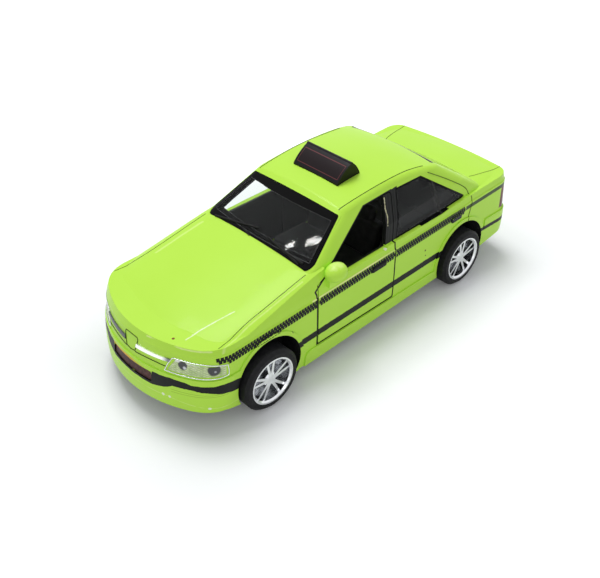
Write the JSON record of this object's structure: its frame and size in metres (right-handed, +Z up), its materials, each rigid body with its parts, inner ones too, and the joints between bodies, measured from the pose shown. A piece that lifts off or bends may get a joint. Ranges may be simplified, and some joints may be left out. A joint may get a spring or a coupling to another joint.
{
  "type": "toy taxi car",
  "caption": "Die-cast toy saloon taxi with a hollow cabin, opening front doors, a roof sign and free-rolling wheels.",
  "frame": {"origin": "on the ground under the middle of the car", "axes": "+Z up, -Y to the nose, +X to the car's left side"},
  "size_m": [0.05, 0.125, 0.0454],
  "materials": {
    "body_paint": "gloss",
    "base_plastic": "matte",
    "cabin_plastic": "matte",
    "dark_glazing": "gloss",
    "clear_lens": "gloss",
    "red_lens": "gloss",
    "sign_black": "gloss",
    "bright_trim": "polished",
    "grille_maroon": "satin",
    "screw_steel": "satin",
    "tyre_rubber": "matte"
  },
  "bodies": {
    "body": {"body_shell": "body_paint", "chassis": "base_plastic", "interior_tray": "cabin_plastic", "steering_wheel": "cabin_plastic", "window_moulding": "dark_glazing", "roof_sign": "sign_black", "grille_bars": "bright_trim", "lower_grille": "grille_maroon", "headlamp_left": "clear_lens", "headlamp_right": "clear_lens", "tail_lamp_left": "red_lens", "tail_lamp_right": "red_lens", "screw_front": "screw_steel", "screw_rear": "screw_steel"},
    "door_left": {"door_left": "body_paint", "mirror_left": "body_paint"},
    "door_right": {"door_right": "body_paint"},
    "wheelset_front": {"axle_front": "screw_steel", "tyre_front_left": "tyre_rubber", "hub_front_left": "bright_trim", "tyre_front_right": "tyre_rubber", "hub_front_right": "bright_trim"},
    "wheelset_rear": {"axle_rear": "screw_steel", "tyre_rear_left": "tyre_rubber", "hub_rear_left": "bright_trim", "tyre_rear_right": "tyre_rubber", "hub_rear_right": "bright_trim"}
  },
  "joints": [
    {"name": "door_left_hinge", "type": "hinge", "parent": "body", "child": "door_left", "pos_m": [0.02019, -0.0239, 0.0165], "axis": [0, 0, -1], "range_deg": [0, 60]},
    {"name": "door_right_hinge", "type": "hinge", "parent": "body", "child": "door_right", "pos_m": [-0.02019, -0.0239, 0.0165], "axis": [0, 0, 1], "range_deg": [0, 60]},
    {"name": "wheelset_front_spin", "type": "hinge", "parent": "body", "child": "wheelset_front", "pos_m": [0, -0.0383, 0.0086], "axis": [1, 0, 0], "continuous": true},
    {"name": "wheelset_rear_spin", "type": "hinge", "parent": "body", "child": "wheelset_rear", "pos_m": [0, 0.0368, 0.0086], "axis": [1, 0, 0], "continuous": true}
  ]
}
